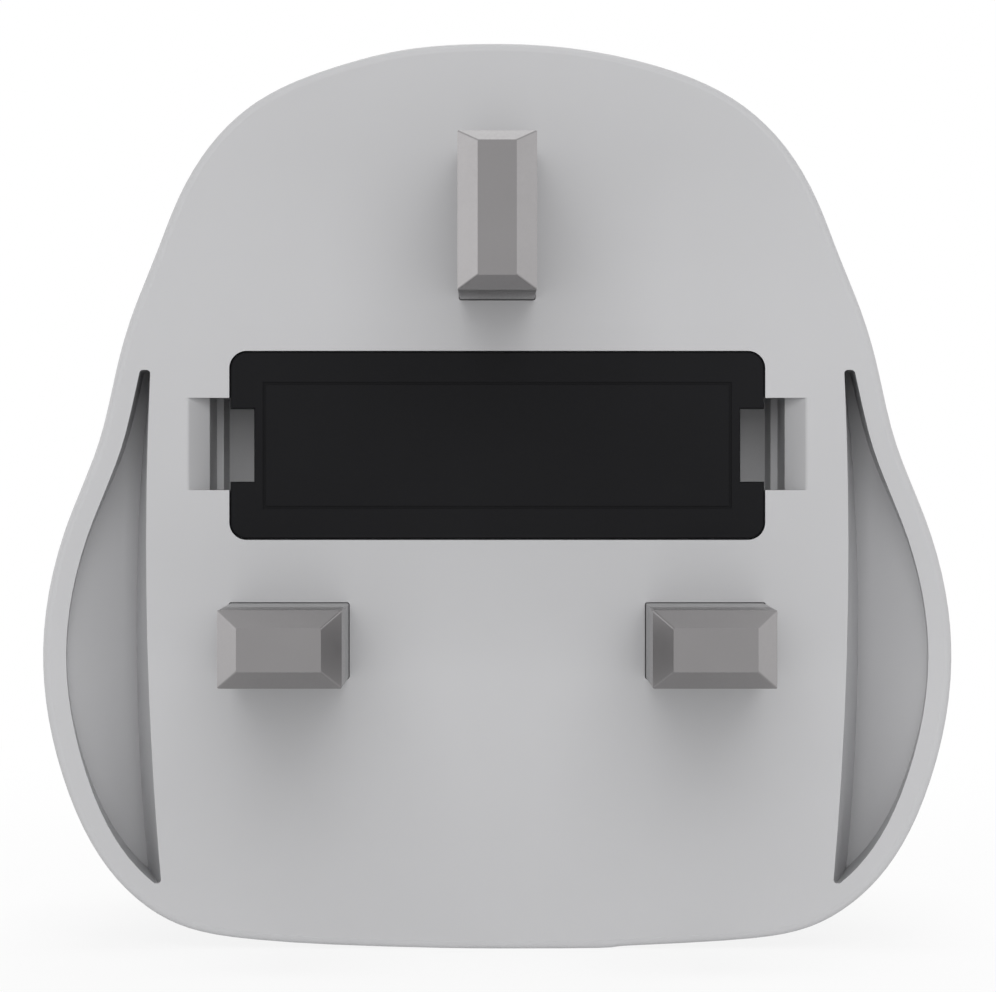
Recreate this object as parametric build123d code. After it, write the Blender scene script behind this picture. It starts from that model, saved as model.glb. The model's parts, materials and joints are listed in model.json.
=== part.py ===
from build123d import *
from math import atan2, cos, hypot, sin, sqrt, tan
import os

# Travel adapter: three flat pins on one face, a round two-pin socket on the other.
# Millimetres. The pins point to -Y, the socket opens to +Y, and +Z is up.
# The origin lies on the pin face, midway between the earth pin and the two live pins.

# Plug pins
PIN_PITCH = 22.2            # line pin to neutral pin
EARTH_RISE = 22.2           # earth pin above the live pins
EARTH_W = 4.0
EARTH_H = 8.0
EARTH_L = 22.73
LIVE_W = 6.35
LIVE_H = 4.0
LIVE_L = 17.7
PIN_EDGE_R = 0.08           # rounded long edges
TIP_SIDE = 1.02             # how far a tip draws in to the left and right
LIVE_TIP_END = 0.88         # and at the top and bottom of the live pins
EARTH_TIP_TOP = 0.53        # and at the top of the earth pin
EARTH_TIP_LOW = 0.71        # and at its bottom
TIP_L = 1.5                 # length of the tapered tip
SLEEVE_L = 9.0              # sleeve outside the pin face
SLEEVE_T = 0.45
PIN_GAP = 0.05              # between a pin and its slot
COLLAR_RIM = 0.9            # collar that stops a pin being pulled out
COLLAR_T = 1.4
TAIL_R = 1.25               # riveted tail
TAIL_HEAD_R = 1.8
TAIL_HEAD_T = 0.5
EARTH_TAIL_DROP = 2.4       # the earth tail sits below the pin's middle

# Outline of the pin face: half widths and heights of its stations
CROWN_Z = 20.75
CROWN_R = 31.5
CROWN_X = 8.0
SHOULDER_TOP_X = 12.72
SHOULDER_TOP_Z = 17.73
SHOULDER_X = 15.07
SHOULDER_Z = 15.64
FLANK_TOP_X = 17.05
FLANK_TOP_Z = 12.45
FLANK_END_X = 19.49
FLANK_END_Z = 6.3
KNEE_X = 20.21
KNEE_Z = 3.87
NECK_X = 21.24
NECK_Z = -0.42
HIP_TOP_X = 22.9
HIP_TOP_Z = -4.71
HIP_X = 24.25
HIP_Z = -11.7
HEEL_X = 23.1
HEEL_Z = -18.65
CORNER_TOP_X = 20.17
CORNER_TOP_Z = -24.0
CORNER_X = 17.25
CORNER_Z = -26.16
BASE_X = 13.2
BASE_R = 172.0
BASE_Z = -27.55

# Housing
WALL = 1.6
FACE_T = 2.2                # pin face plate
FACE_EDGE_R = 0.4
COVER_D = 11.0              # depth of the rear cover, up to the parting line
PART_GROOVE = 0.2           # small bevels that form the parting line
LIP_T = 0.7                 # lip of the front shell inside the rear cover
LIP_L = 1.4
LIP_GAP = 0.1
BOSS_WALL = 1.2             # walls round pins, fuse and pockets
BOSS_L = 7.0                # depth of the pin bosses
PILLAR_R = 1.8
PILLAR_TOP = (6.5, 10.6)
PILLAR_LOW = (5.5, -17.5)

# Crescent pockets beside the main body, with a floor that slopes up to the rim
POCKET_D = 6.3              # depth of the lowest end of the floor
POCKET_BANK = 1.1           # how far the main body's side leans out at that depth
POCKET_TOP_BANK = 0.3       # and at the narrow top end
POCKET_RIM_D = 0.7          # depth at the widest place of the rim
POCKET_RIM = 1.25           # wall between pocket and outline
POCKET_TOP_X = 18.5
POCKET_TOP_Z = 3.35
POCKET_MID_X = 18.68
POCKET_MID_Z = -10.5
POCKET_LOW_X = 17.92
POCKET_LOW_Z = -24.05
POCKET_END_R = 0.2

# Fuse and its carrier
FUSE_L = 25.4
FUSE_D = 6.35
CERAMIC_D = 5.9
CERAMIC_BORE = 3.6
CAP_L = 6.3
CAP_END_T = 0.4
CAP_GAP = 0.02
CARRIER_W = 28.47
CARRIER_H = 9.97
CARRIER_Z = -0.68
CARRIER_T = 1.8
CARRIER_CORNER_R = 0.87
CARRIER_GAP = 0.06
CARRIER_EDGE_R = 0.08
PANEL_SIDE = 1.725          # fine groove this far inside the carrier's edge
PANEL_TOP = 1.6
PANEL_GROOVE_W = 0.16
PANEL_GROOVE_D = 0.12
NOTCH_H = 3.88
NOTCH_D = 1.27
FUSE_SEAT = 0.35            # carrier plate to fuse
FUSE_GAP = 0.1
CRADLE_W = 11.4
CRADLE_D = 5.2              # depth of the jaws behind the plate
CRADLE_GAP = 0.1
FUSE_END_GAP = 0.15         # fuse to the chamber's end walls
CLIP_ROOM = 0.025           # flared clip to the chamber's walls

# Stepped grip recess beside each carrier notch
GRIP_RISE = 2.54            # top edge above the carrier's middle
GRIP_DROP = 2.39
GRIP_REACH = 2.27           # outer edge from the carrier's end
GRIP_LIP_R = 0.3            # its rounded lip
GRIP_STEP = 1.15            # foot of the ramp from the carrier's end
GRIP_RAMP_D = 1.2           # depth at the end of the ramp
GRIP_LEDGE = 0.56           # inner edge of the ledge from the carrier's end
GRIP_LEDGE_D = 5.4
GRIP_FLOOR_D = 7.6
GRIP_LEAN = 0.22            # how far the wall of a step leans

# Stamped metal strips
STRAP_T = 0.6
STRAP_R = 1.6               # half width and end radius of a strap
BEND_R = 0.5
CLIP_IN = 7.0               # fuse clip's inner edge from the middle
CLIP_W = 4.8
CLIP_BACK_GAP = 1.5         # fuse to clip base
CLIP_SPREAD = 0.22          # root of a clip finger stands this much wider
CLIP_LIP = 0.5              # flared lead-in
CLIP_LIP_L = 1.3
CLIP_REACH = 0.9            # finger runs this far past the fuse's middle
RIVET_X = 8.5
RIVET_Z = 6.9
RIVET_R = 1.1
RIVET_HEAD_R = 1.6
RIVET_HEAD_T = 0.5
HOLE_GAP = 0.05

# Socket recess and contacts
RECESS_R = 19.5
RECESS_D = 17.5
LEDGE = 0.5                 # step that the socket floor rests on
SOCKET_FLOOR_T = 2.4
FLOOR_GAP = 0.1
PIN_HOLE_PITCH = 19.0
PIN_HOLE_R = 2.75
PIN_HOLE_BEVEL = 0.4
PLUG_PIN_L = 19.0
PIN_END_GAP = 0.2
CONTACT_R = 2.45            # inside of a contact sleeve
CONTACT_FLARE = 0.45
CONTACT_FLARE_L = 1.2
CONTACT_SLIT = 1.0
MOUTH_OUTER_R = 1.2
MOUTH_INNER_R = 0.5
KEY_RIB_W = 4.4             # side ribs that key the plug
KEY_RIB_H = 2.0
KEY_RIB_DROP = 2.0          # below the mouth
KEY_RIB_R = 0.6
BELL_STEPS = 5
BELL_RUNOUT = 1.6           # the bell turns round this far below the socket floor

# Earth springs
EARTH_STRIP_W = 5.0
ARM_GAP = 0.6               # arm to recess wall
ARM_CREST = 1.3             # how far the spring stands inwards
ARM_BEND_Y = 2.0            # start of the spring above the socket floor
ARM_CREST_Y = 8.0
ARM_END_Y = 13.5
ARM_BEND_R = 1.0
ARM_SLOT_GAP = 0.5
ARM_GUIDE_W = 1.2
ARM_GUIDE_H = 1.4

# Contact block and shutter
BLOCK_FLOOR_T = 1.6
BLOCK_GAP = 1.0             # block to the housing's round end
BLOCK_SIDE_GAP = 0.5        # block to the bell's inside
BLOCK_WALL = 1.2
DIVIDER_T = 1.4
DIVIDER_GAP = 0.6
HEAD_GAP = 0.3              # room round a rivet head
SHUTTER_T = 5.0
SHUTTER_W = 26.0
SHUTTER_TRAVEL = 6.0
SHUTTER_LOW = 3.4           # lower edge below the pin holes
SHUTTER_BRIDGE = 3.2        # upper edge above the windows' middle
SHUTTER_CORNER_R = 0.8
SHUTTER_GAP = 0.1
WINDOW_R = 2.9
RAMP_W = 6.2
RAMP_FOOT = 0.6             # web left under the ramp
CONTACT_CLEAR = 0.8         # contact sleeve to shutter
SHUTTER_LEDGE = 1.1
LEDGE_T = 2.0
STOP_SIDE = 1.5             # shutter stop beside the earth arm's slot
SPRING_R = 1.6
SPRING_WIRE = 0.4
SPRING_WIRE_SIDES = 8       # flats that stand for the round wire
SPRING_PITCH = 2.0
SPRING_L = 10.2
SPRING_POST_W = 4.6
SPRING_PEG_R = 1.0
SPRING_PEG_L = 1.8
SPRING_SEAT_GAP = 0.02

# Places that follow from the sizes above
LIVE_X = PIN_PITCH / 2
EARTH_Z = EARTH_RISE / 2
LIVE_Z = -EARTH_RISE / 2
SEAT_R = RECESS_R + LEDGE
DRUM_R = SEAT_R + WALL
SOCKET_Z = BASE_Z + DRUM_R
HOLE_X = PIN_HOLE_PITCH / 2
FUSE_Y = CARRIER_T + FUSE_SEAT + FUSE_D / 2
FUSE_BOX_W = FUSE_L + 2 * FUSE_END_GAP
FUSE_BOX_H = FUSE_D + 2 * (FUSE_GAP + STRAP_T + CLIP_LIP + CLIP_ROOM)
GRIP_X = CARRIER_W / 2 + GRIP_REACH
GRIP_TOP = CARRIER_Z + GRIP_RISE
GRIP_LOW = CARRIER_Z - GRIP_DROP
STRAP_Y = FUSE_Y + FUSE_D / 2 + CLIP_BACK_GAP
BLOCK_Y = STRAP_Y + STRAP_T
CONTACT_Y = BLOCK_Y + BLOCK_FLOOR_T
RECESS_Y = CONTACT_Y + STRAP_T + PIN_END_GAP + PLUG_PIN_L
MOUTH_Y = RECESS_Y + RECESS_D
FLOOR_Y = RECESS_Y - SOCKET_FLOOR_T
BELL_Y = FLOOR_Y - BELL_RUNOUT
SHUTTER_Y = FLOOR_Y - 2 * SHUTTER_GAP - SHUTTER_T
BLOCK_R = SEAT_R - BLOCK_GAP
ARM_R = RECESS_R - ARM_GAP
COLLAR_Y = BOSS_L + COLLAR_T


def at_depth(y):
    """Plane across the object at depth y, with x to the right and z up."""
    return Plane(origin=(0, y, 0), x_dir=(1, 0, 0), z_dir=(0, -1, 0))


def slab(shape, y_from, y_to):
    """Extrudes a sketch in x and z between two depths."""
    return extrude(at_depth(y_from) * shape, amount=y_to - y_from, dir=(0, 1, 0))


def side_profile(shape, x_from, x_to):
    """Extrudes a sketch in y and z between two x places."""
    return extrude(Plane.YZ.offset(x_from) * shape, amount=x_to - x_from)


def turned(profile, x, z):
    """Revolves a half profile of radius and depth about a line along Y."""
    lathe = Plane(origin=(0, 0, 0), x_dir=(1, 0, 0), z_dir=(0, 0, 1))
    return Pos(x, 0, z) * revolve(lathe * profile, axis=Axis.Y)


def both_sides(part):
    """A part and its mirror image across the middle."""
    return part + mirror(part, about=Plane.YZ)


def box_sketch(x_from, x_to, z_from, z_to):
    """Rectangle between two x and two z places."""
    middle = ((x_from + x_to) / 2, (z_from + z_to) / 2)
    return Pos(*middle) * Rectangle(x_to - x_from, z_to - z_from)


def disc(x, z, radius):
    """Round sketch at one place."""
    return Pos(x, z) * Circle(radius)


def link(start, end, radius):
    """Flat strap with round ends between two places."""
    ends = disc(*start, radius).edges() + disc(*end, radius).edges()
    return make_hull(ends)


def crown_arc(x):
    """Point of the shallow arc at the top."""
    return (x, CROWN_Z - CROWN_R + sqrt(CROWN_R**2 - x**2))


def base_arc(x):
    """Point of the nearly flat arc at the bottom."""
    return (x, BASE_Z + BASE_R - sqrt(BASE_R**2 - x**2))


def outline_stations():
    """Right half of the pin face's outline, from top to bottom."""
    flank_mid = ((FLANK_TOP_X + FLANK_END_X) / 2, (FLANK_TOP_Z + FLANK_END_Z) / 2)
    return [
        crown_arc(0),
        crown_arc(CROWN_X),
        (SHOULDER_TOP_X, SHOULDER_TOP_Z),
        (SHOULDER_X, SHOULDER_Z),
        (FLANK_TOP_X, FLANK_TOP_Z),
        flank_mid,
        (FLANK_END_X, FLANK_END_Z),
        (KNEE_X, KNEE_Z),
        (NECK_X, NECK_Z),
        (HIP_TOP_X, HIP_TOP_Z),
        (HIP_X, HIP_Z),
        (HEEL_X, HEEL_Z),
        (CORNER_TOP_X, CORNER_TOP_Z),
        (CORNER_X, CORNER_Z),
        base_arc(BASE_X),
        base_arc(BASE_X / 2),
        base_arc(0),
    ]


def rounded_towards_socket(point, blend):
    """Moves an outline point towards the socket's round collar, from 0 to 1."""
    x, rise = point[0], point[1] - SOCKET_Z
    reach = hypot(x, rise)
    scale = (reach + (DRUM_R - reach) * blend) / reach
    return (x * scale, SOCKET_Z + rise * scale)


def inset_station(points, index, inset):
    """Moves one station inwards, square to the line between its neighbours."""
    before = points[max(index - 1, 0)]
    after = points[min(index + 1, len(points) - 1)]
    run, drop = after[0] - before[0], after[1] - before[1]
    if index in (0, len(points) - 1):
        run, drop = (1, 0) if index == 0 else (-1, 0)
    length = hypot(run, drop)
    x, z = points[index]
    return (x + inset * drop / length, z - inset * run / length)


def outline(inset=0.0, blend=0.0):
    """Outline face, drawn in by a wall and blended towards the round collar."""
    points = [rounded_towards_socket(point, blend) for point in outline_stations()]
    if inset:
        points = [inset_station(points, index, inset) for index in range(len(points))]
    mirrored = [(-x, z) for x, z in reversed(points)]
    right = Edge.make_spline(points, tangents=[(1, 0), (-1, 0)])
    left = Edge.make_spline(mirrored, tangents=[(-1, 0), (1, 0)])
    return Face(Wire([right, left]))


def collar(inset=0.0):
    """Round end of the body, as two half circles that meet at top and bottom."""
    radius = DRUM_R - inset
    top, low = (0, SOCKET_Z + radius), (0, SOCKET_Z - radius)
    right = Edge.make_three_point_arc(top, (radius, SOCKET_Z), low)
    left = Edge.make_three_point_arc(low, (-radius, SOCKET_Z), top)
    return Face(Wire([right, left]))


def bell(inset=0.0):
    """Body between the parting line and the round collar, blended smoothly."""
    sections = []
    for step in range(BELL_STEPS):
        run = step / BELL_STEPS
        blend = run * run * (3 - 2 * run)
        depth = COVER_D + (BELL_Y - COVER_D) * run
        sections.append(at_depth(depth) * outline(inset, blend))
    sections.append(at_depth(BELL_Y) * collar(inset))
    return loft(sections)


def pocket_face(grow=0.0):
    """Crescent between the main body's straight side and the outline."""
    inner = Spline(
        (POCKET_TOP_X - grow, POCKET_TOP_Z + grow),
        (POCKET_MID_X - grow, POCKET_MID_Z),
        (POCKET_LOW_X - grow, POCKET_LOW_Z - grow),
    )
    far = HIP_X + WALL
    rest = Polyline(inner @ 1, (far, POCKET_LOW_Z - grow), (far, POCKET_TOP_Z + grow), inner @ 0)
    return make_face(inner + rest) & outline(POCKET_RIM - grow)


def pocket_depths(grow=0.0):
    """Space over a pocket's sloping floor, grown by a wall."""
    inner, rim = POCKET_LOW_X - grow, HIP_X - POCKET_RIM + grow
    floor = Polyline((inner, 0), (inner, POCKET_D + grow), (rim, POCKET_RIM_D + grow), (rim, 0), close=True)
    low, top = POCKET_LOW_Z - grow, POCKET_TOP_Z + grow
    return extrude(Plane.XY.offset(low) * make_face(floor), amount=top - low)


def body_side(lean, top_lean):
    """Main body up to its straight side, moved outwards by a lean."""
    side = Spline(
        (POCKET_TOP_X + top_lean, POCKET_TOP_Z),
        (POCKET_MID_X + lean, POCKET_MID_Z),
        (POCKET_LOW_X + lean, POCKET_LOW_Z),
    )
    return make_face(side + Polyline(side @ 1, (0, POCKET_LOW_Z), (0, POCKET_TOP_Z), side @ 0))


def pocket():
    """Pocket with rounded ends and a leaning inner side, ready to be cut."""
    cut = slab(pocket_face(), 0, POCKET_D)
    cut = fillet(cut.edges().filter_by(Axis.Y), POCKET_END_R) & pocket_depths()
    foot = at_depth(POCKET_D) * body_side(POCKET_BANK, POCKET_TOP_BANK)
    return cut - loft([at_depth(0) * body_side(0, 0), foot], ruled=True)


def pocket_walls():
    """Floor and inner wall left round a pocket inside the cover."""
    return slab(pocket_face(BOSS_WALL), FACE_T, POCKET_D + BOSS_WALL) & pocket_depths(BOSS_WALL)


def grip_recess():
    """Ramp and two steps that lead a fingernail or blade under the carrier."""
    step = CARRIER_W / 2 + GRIP_STEP
    ledge = CARRIER_W / 2 + GRIP_LEDGE
    inner = FUSE_BOX_W / 2 - BOSS_WALL
    slope = atan2(GRIP_RAMP_D, GRIP_X - step)
    lead = GRIP_LIP_R * tan(slope / 2)
    lip_end = (GRIP_X - lead * cos(slope), lead * sin(slope))
    lip = TangentArc((GRIP_X + lead, 0), lip_end, tangent=(-1, 0))
    steps = Polyline(
        lip_end,
        (step, GRIP_RAMP_D),
        (step - GRIP_LEAN, GRIP_LEDGE_D),
        (ledge, GRIP_LEDGE_D),
        (ledge - GRIP_LEAN, GRIP_FLOOR_D),
        (inner, GRIP_FLOOR_D),
        (inner, 0),
        (GRIP_X + lead, 0),
    )
    profile = make_face(lip + steps)
    return extrude(Plane.XY.offset(GRIP_LOW) * profile, amount=GRIP_TOP - GRIP_LOW)


def grip_block():
    """Material behind a grip recess."""
    shape = box_sketch(
        FUSE_BOX_W / 2, GRIP_X + BOSS_WALL, GRIP_LOW - BOSS_WALL, GRIP_TOP + BOSS_WALL
    )
    return slab(shape, FACE_T, GRIP_FLOOR_D + BOSS_WALL)


def fuse_box():
    """Walls of the chamber that takes the fuse carrier."""
    shape = Pos(0, CARRIER_Z) * Rectangle(FUSE_BOX_W + 2 * BOSS_WALL, FUSE_BOX_H + 2 * BOSS_WALL)
    return slab(shape, FACE_T, STRAP_Y - 2 * HOLE_GAP)


def fuse_chamber():
    """Opening for the carrier's plate and, behind it, for its jaws and the clips."""
    width = CARRIER_W + 2 * CARRIER_GAP
    height = CARRIER_H + 2 * CARRIER_GAP
    plate = RectangleRounded(width, height, CARRIER_CORNER_R + CARRIER_GAP)
    mouth = slab(Pos(0, CARRIER_Z) * plate, 0, CARRIER_T)
    return mouth + slab(Pos(0, CARRIER_Z) * Rectangle(FUSE_BOX_W, FUSE_BOX_H), 0, STRAP_Y)


def pin_places():
    """Width, height and middle of each pin's section."""
    return [
        (EARTH_W, EARTH_H, 0, EARTH_Z),
        (LIVE_W, LIVE_H, -LIVE_X, LIVE_Z),
        (LIVE_W, LIVE_H, LIVE_X, LIVE_Z),
    ]


def pin_section(width, height, x, z, grow=0.0):
    """Rounded rectangular section of a pin, grown by a clearance or wall."""
    return Pos(x, z) * RectangleRounded(width + 2 * grow, height + 2 * grow, PIN_EDGE_R + max(grow, 0))


def rear_cover():
    """Cover with the pin face, pockets, grip recesses and fuse chamber."""
    block = slab(outline(), 0, COVER_D)
    block = fillet(block.edges().group_by(Axis.Y)[0], FACE_EDGE_R)
    block = chamfer(block.edges().group_by(Axis.Y)[-1], PART_GROOVE)
    cover = block - slab(outline(WALL), FACE_T, COVER_D)
    cover -= slab(outline(WALL - LIP_T - LIP_GAP), COVER_D - LIP_L - LIP_GAP, COVER_D)
    cover += fuse_box()
    cover += both_sides(pocket_walls() + grip_block())
    for x, z in (PILLAR_TOP, PILLAR_LOW):
        cover += both_sides(slab(disc(x, z, PILLAR_R), FACE_T, BLOCK_Y))
    for place in pin_places():
        cover += slab(pin_section(*place, PIN_GAP + BOSS_WALL), FACE_T, BOSS_L)
    for place in pin_places():
        cover -= slab(pin_section(*place, PIN_GAP), 0, BOSS_L)
    cover -= fuse_chamber()
    cover -= both_sides(pocket() + grip_recess())
    return cover


def recess_ribs():
    """Keying ribs at the sides of the recess and guides beside the earth springs."""
    key = box_sketch(
        RECESS_R - KEY_RIB_H, RECESS_R + LEDGE, SOCKET_Z - KEY_RIB_W / 2, SOCKET_Z + KEY_RIB_W / 2
    )
    key = fillet(key.vertices().group_by(Axis.X)[0], KEY_RIB_R)
    ribs = both_sides(slab(key, RECESS_Y, MOUTH_Y - KEY_RIB_DROP))
    start = EARTH_STRIP_W / 2 + ARM_SLOT_GAP
    for side in (1, -1):
        low, high = sorted((side * (RECESS_R - ARM_GUIDE_H), side * RECESS_R))
        guide = box_sketch(start, start + ARM_GUIDE_W, SOCKET_Z + low, SOCKET_Z + high)
        ribs += both_sides(slab(guide, RECESS_Y, RECESS_Y + ARM_END_Y))
    return ribs


def front_shell():
    """Bell-shaped half of the housing with the round socket recess."""
    drum = slab(collar(), BELL_Y, MOUTH_Y)
    drum = fillet(drum.edges().group_by(Axis.Y)[-1], MOUTH_OUTER_R)
    shell = bell() + drum
    shell = chamfer(shell.edges().group_by(Axis.Y)[0], PART_GROOVE)
    shell -= bell(WALL)
    shell -= slab(disc(0, SOCKET_Z, SEAT_R), BELL_Y, RECESS_Y)
    recess = slab(disc(0, SOCKET_Z, RECESS_R), RECESS_Y, MOUTH_Y)
    shell = shell - recess
    mouth = shell.edges().filter_by(GeomType.CIRCLE).group_by(Axis.Y)[-1]
    shell = fillet(mouth.sort_by(SortBy.RADIUS)[0], MOUTH_INNER_R)
    lip = outline(WALL - LIP_T) - outline(WALL)
    return shell + slab(lip, COVER_D - LIP_L, COVER_D) + recess_ribs()


def arm_slots():
    """Notches at top and bottom that let the earth strip's arms pass."""
    half = EARTH_STRIP_W / 2 + ARM_SLOT_GAP
    inner = ARM_R - STRAP_T - ARM_BEND_R
    top = box_sketch(-half, half, SOCKET_Z + inner, SOCKET_Z + DRUM_R)
    low = box_sketch(-half, half, SOCKET_Z - DRUM_R, SOCKET_Z - inner)
    return top + low


def socket_floor():
    """Floor of the recess with two bevelled pin holes."""
    plate = disc(0, SOCKET_Z, SEAT_R - FLOOR_GAP) - arm_slots()
    for side in (1, -1):
        plate -= disc(side * HOLE_X, SOCKET_Z, PIN_HOLE_R)
    floor = slab(plate, FLOOR_Y, RECESS_Y)
    front = floor.edges().filter_by(GeomType.CIRCLE).group_by(Axis.Y)[-1]
    rims = [edge for edge in front if edge.radius < SEAT_R / 2]
    return chamfer(rims, PIN_HOLE_BEVEL)


def inner_room(gap):
    """Space inside the two housing halves, drawn in by a gap."""
    inset = WALL + gap
    room = slab(outline(inset), FACE_T, COVER_D) + bell(inset)
    return room + slab(collar(inset), BELL_Y, RECESS_Y)


def block_walls():
    """Rim, middle divider, shutter rails, stop and spring post of the contact block."""
    rim = disc(0, SOCKET_Z, BLOCK_R) - disc(0, SOCKET_Z, BLOCK_R - BLOCK_WALL)
    inside = disc(0, SOCKET_Z, BLOCK_R)
    rail_x = SHUTTER_W / 2 + SHUTTER_GAP
    low_edge = SOCKET_Z - SHUTTER_LOW - SHUTTER_TRAVEL
    top_edge = SOCKET_Z + SHUTTER_TRAVEL + SHUTTER_BRIDGE
    rail = box_sketch(rail_x, rail_x + BLOCK_WALL, low_edge - BLOCK_WALL, top_edge + BLOCK_WALL)
    ledge = box_sketch(rail_x - SHUTTER_LEDGE, rail_x, low_edge, top_edge)
    ledge -= disc(HOLE_X, SOCKET_Z, CONTACT_R + CONTACT_FLARE + STRAP_T + HEAD_GAP)
    stop_x = EARTH_STRIP_W / 2 + ARM_SLOT_GAP + STOP_SIDE
    stop = box_sketch(-stop_x, stop_x, top_edge, SOCKET_Z + BLOCK_R)
    post_z = SOCKET_Z - SHUTTER_LOW - SPRING_L
    post = box_sketch(-SPRING_POST_W / 2, SPRING_POST_W / 2, SOCKET_Z - BLOCK_R, post_z)
    divider = box_sketch(-DIVIDER_T / 2, DIVIDER_T / 2, post_z, RIVET_Z - STRAP_R - DIVIDER_GAP)
    walls = slab(rim, CONTACT_Y, FLOOR_Y) + slab(post & inside, CONTACT_Y, FLOOR_Y)
    walls += both_sides(slab(rail & inside, CONTACT_Y, FLOOR_Y))
    ledge_y = SHUTTER_Y - SHUTTER_GAP
    walls += both_sides(slab(ledge & inside, ledge_y - LEDGE_T, ledge_y))
    walls += slab(stop & inside, SHUTTER_Y, FLOOR_Y)
    walls += slab(divider, CONTACT_Y, ledge_y)
    peg = Cylinder(SPRING_PEG_R, SPRING_PEG_L, align=(Align.CENTER, Align.CENTER, Align.MIN))
    return walls + Pos(0, spring_y(), post_z) * peg


def contact_block():
    """Insulating block between the housing halves."""
    block = slab(disc(0, SOCKET_Z, BLOCK_R), BLOCK_Y, CONTACT_Y) + block_walls()
    block -= slab(arm_slots(), BLOCK_Y, FLOOR_Y)
    heads = disc(0, EARTH_Z - EARTH_TAIL_DROP, TAIL_HEAD_R + HEAD_GAP)
    heads += disc(-LIVE_X, LIVE_Z, TAIL_HEAD_R + HEAD_GAP)
    block -= slab(heads, BLOCK_Y, BLOCK_Y + TAIL_HEAD_T + HEAD_GAP)
    through = disc(LIVE_X, LIVE_Z, TAIL_R + HOLE_GAP) + disc(RIVET_X, RIVET_Z, RIVET_R + HOLE_GAP)
    block -= slab(through, BLOCK_Y, CONTACT_Y)
    return block & inner_room(BLOCK_SIDE_GAP)


def pin_tip(width, height, x, z, length, taper_top, taper_low):
    """Tapered tip at the free end of a pin."""
    root = at_depth(TIP_L - length) * pin_section(width, height, x, z)
    tip_w = width - 2 * TIP_SIDE
    tip_h = height - taper_top - taper_low
    tip = at_depth(-length) * pin_section(tip_w, tip_h, x, z + (taper_low - taper_top) / 2)
    return loft([root, tip])


def pin_tail(x, z, seat, end):
    """Round tail that is riveted over behind a strap."""
    tail = slab(disc(x, z, TAIL_R), seat, end)
    return tail + slab(disc(x, z, TAIL_HEAD_R), end, end + TAIL_HEAD_T)


def earth_pin():
    """Bare earth pin, riveted to the earth bracket."""
    place = (EARTH_W, EARTH_H, 0, EARTH_Z)
    pin = pin_tip(*place, EARTH_L, EARTH_TIP_TOP, EARTH_TIP_LOW)
    pin += slab(pin_section(*place), TIP_L - EARTH_L, STRAP_Y)
    pin += slab(pin_section(*place, COLLAR_RIM), BOSS_L, COLLAR_Y)
    return pin + pin_tail(0, EARTH_Z - EARTH_TAIL_DROP, STRAP_Y, BLOCK_Y)


def live_pin(x, seat, tail_end):
    """Line or neutral pin with a waist for its sleeve."""
    place = (LIVE_W, LIVE_H, x, LIVE_Z)
    pin = pin_tip(*place, LIVE_L, LIVE_TIP_END, LIVE_TIP_END)
    pin += slab(pin_section(*place), TIP_L - LIVE_L, -SLEEVE_L)
    waist = Pos(x, LIVE_Z) * Rectangle(LIVE_W - 2 * SLEEVE_T, LIVE_H - 2 * SLEEVE_T)
    pin += slab(waist, -SLEEVE_L, FACE_T)
    pin += slab(pin_section(*place), FACE_T, seat)
    pin += slab(pin_section(*place, COLLAR_RIM), BOSS_L, COLLAR_Y)
    return pin + pin_tail(x, LIVE_Z, seat, tail_end)


def pin_sleeve(x):
    """Insulating sleeve, flush with the bare end of its pin."""
    waist = Pos(x, LIVE_Z) * Rectangle(LIVE_W - 2 * SLEEVE_T, LIVE_H - 2 * SLEEVE_T)
    return slab(pin_section(LIVE_W, LIVE_H, x, LIVE_Z) - waist, -SLEEVE_L, FACE_T)


def fuse_carrier():
    """Plate flush with the pin face, with jaws that hold the fuse's middle."""
    plate = RectangleRounded(CARRIER_W, CARRIER_H, CARRIER_CORNER_R)
    for side in (1, -1):
        plate -= Pos(side * (CARRIER_W - NOTCH_D) / 2, 0) * Rectangle(NOTCH_D, NOTCH_H)
    carrier = slab(Pos(0, CARRIER_Z) * plate, 0, CARRIER_T)
    carrier = chamfer(carrier.edges().group_by(Axis.Y)[0], CARRIER_EDGE_R)
    width, height = CARRIER_W - 2 * PANEL_SIDE, CARRIER_H - 2 * PANEL_TOP
    groove = Rectangle(width, height)
    groove -= Rectangle(width - 2 * PANEL_GROOVE_W, height - 2 * PANEL_GROOVE_W)
    carrier -= slab(Pos(0, CARRIER_Z) * groove, 0, PANEL_GROOVE_D)
    jaws = Pos(0, CARRIER_Z) * Rectangle(CRADLE_W, FUSE_BOX_H - 2 * CRADLE_GAP)
    carrier += slab(jaws, CARRIER_T, CARRIER_T + CRADLE_D)
    return carrier - fuse_rod(FUSE_D / 2 + FUSE_GAP, -CRADLE_W / 2, CRADLE_W / 2)


def fuse_rod(radius, x_from, x_to):
    """Round bar along the fuse's axis."""
    return side_profile(Pos(FUSE_Y, CARRIER_Z) * Circle(radius), x_from, x_to)


def fuse_tube():
    """Ceramic tube of the cartridge fuse."""
    half = FUSE_L / 2 - CAP_END_T
    return fuse_rod(CERAMIC_D / 2, -half, half) - fuse_rod(CERAMIC_BORE / 2, -half, half)


def fuse_cap(side):
    """Metal end cap of the fuse."""
    outer_end = FUSE_L / 2
    cap = fuse_rod(FUSE_D / 2, outer_end - CAP_L, outer_end)
    cap -= fuse_rod(CERAMIC_D / 2 + CAP_GAP, outer_end - CAP_L, outer_end - CAP_END_T)
    return cap if side > 0 else mirror(cap, about=Plane.YZ)


def bent_strip(points, bend, x_from, x_to):
    """Sheet strip bent along points in y and z on the middle of its thickness."""
    path = FilletPolyline(*points, radius=bend)
    return side_profile(make_face(offset(path, amount=STRAP_T / 2)), x_from, x_to)


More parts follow.
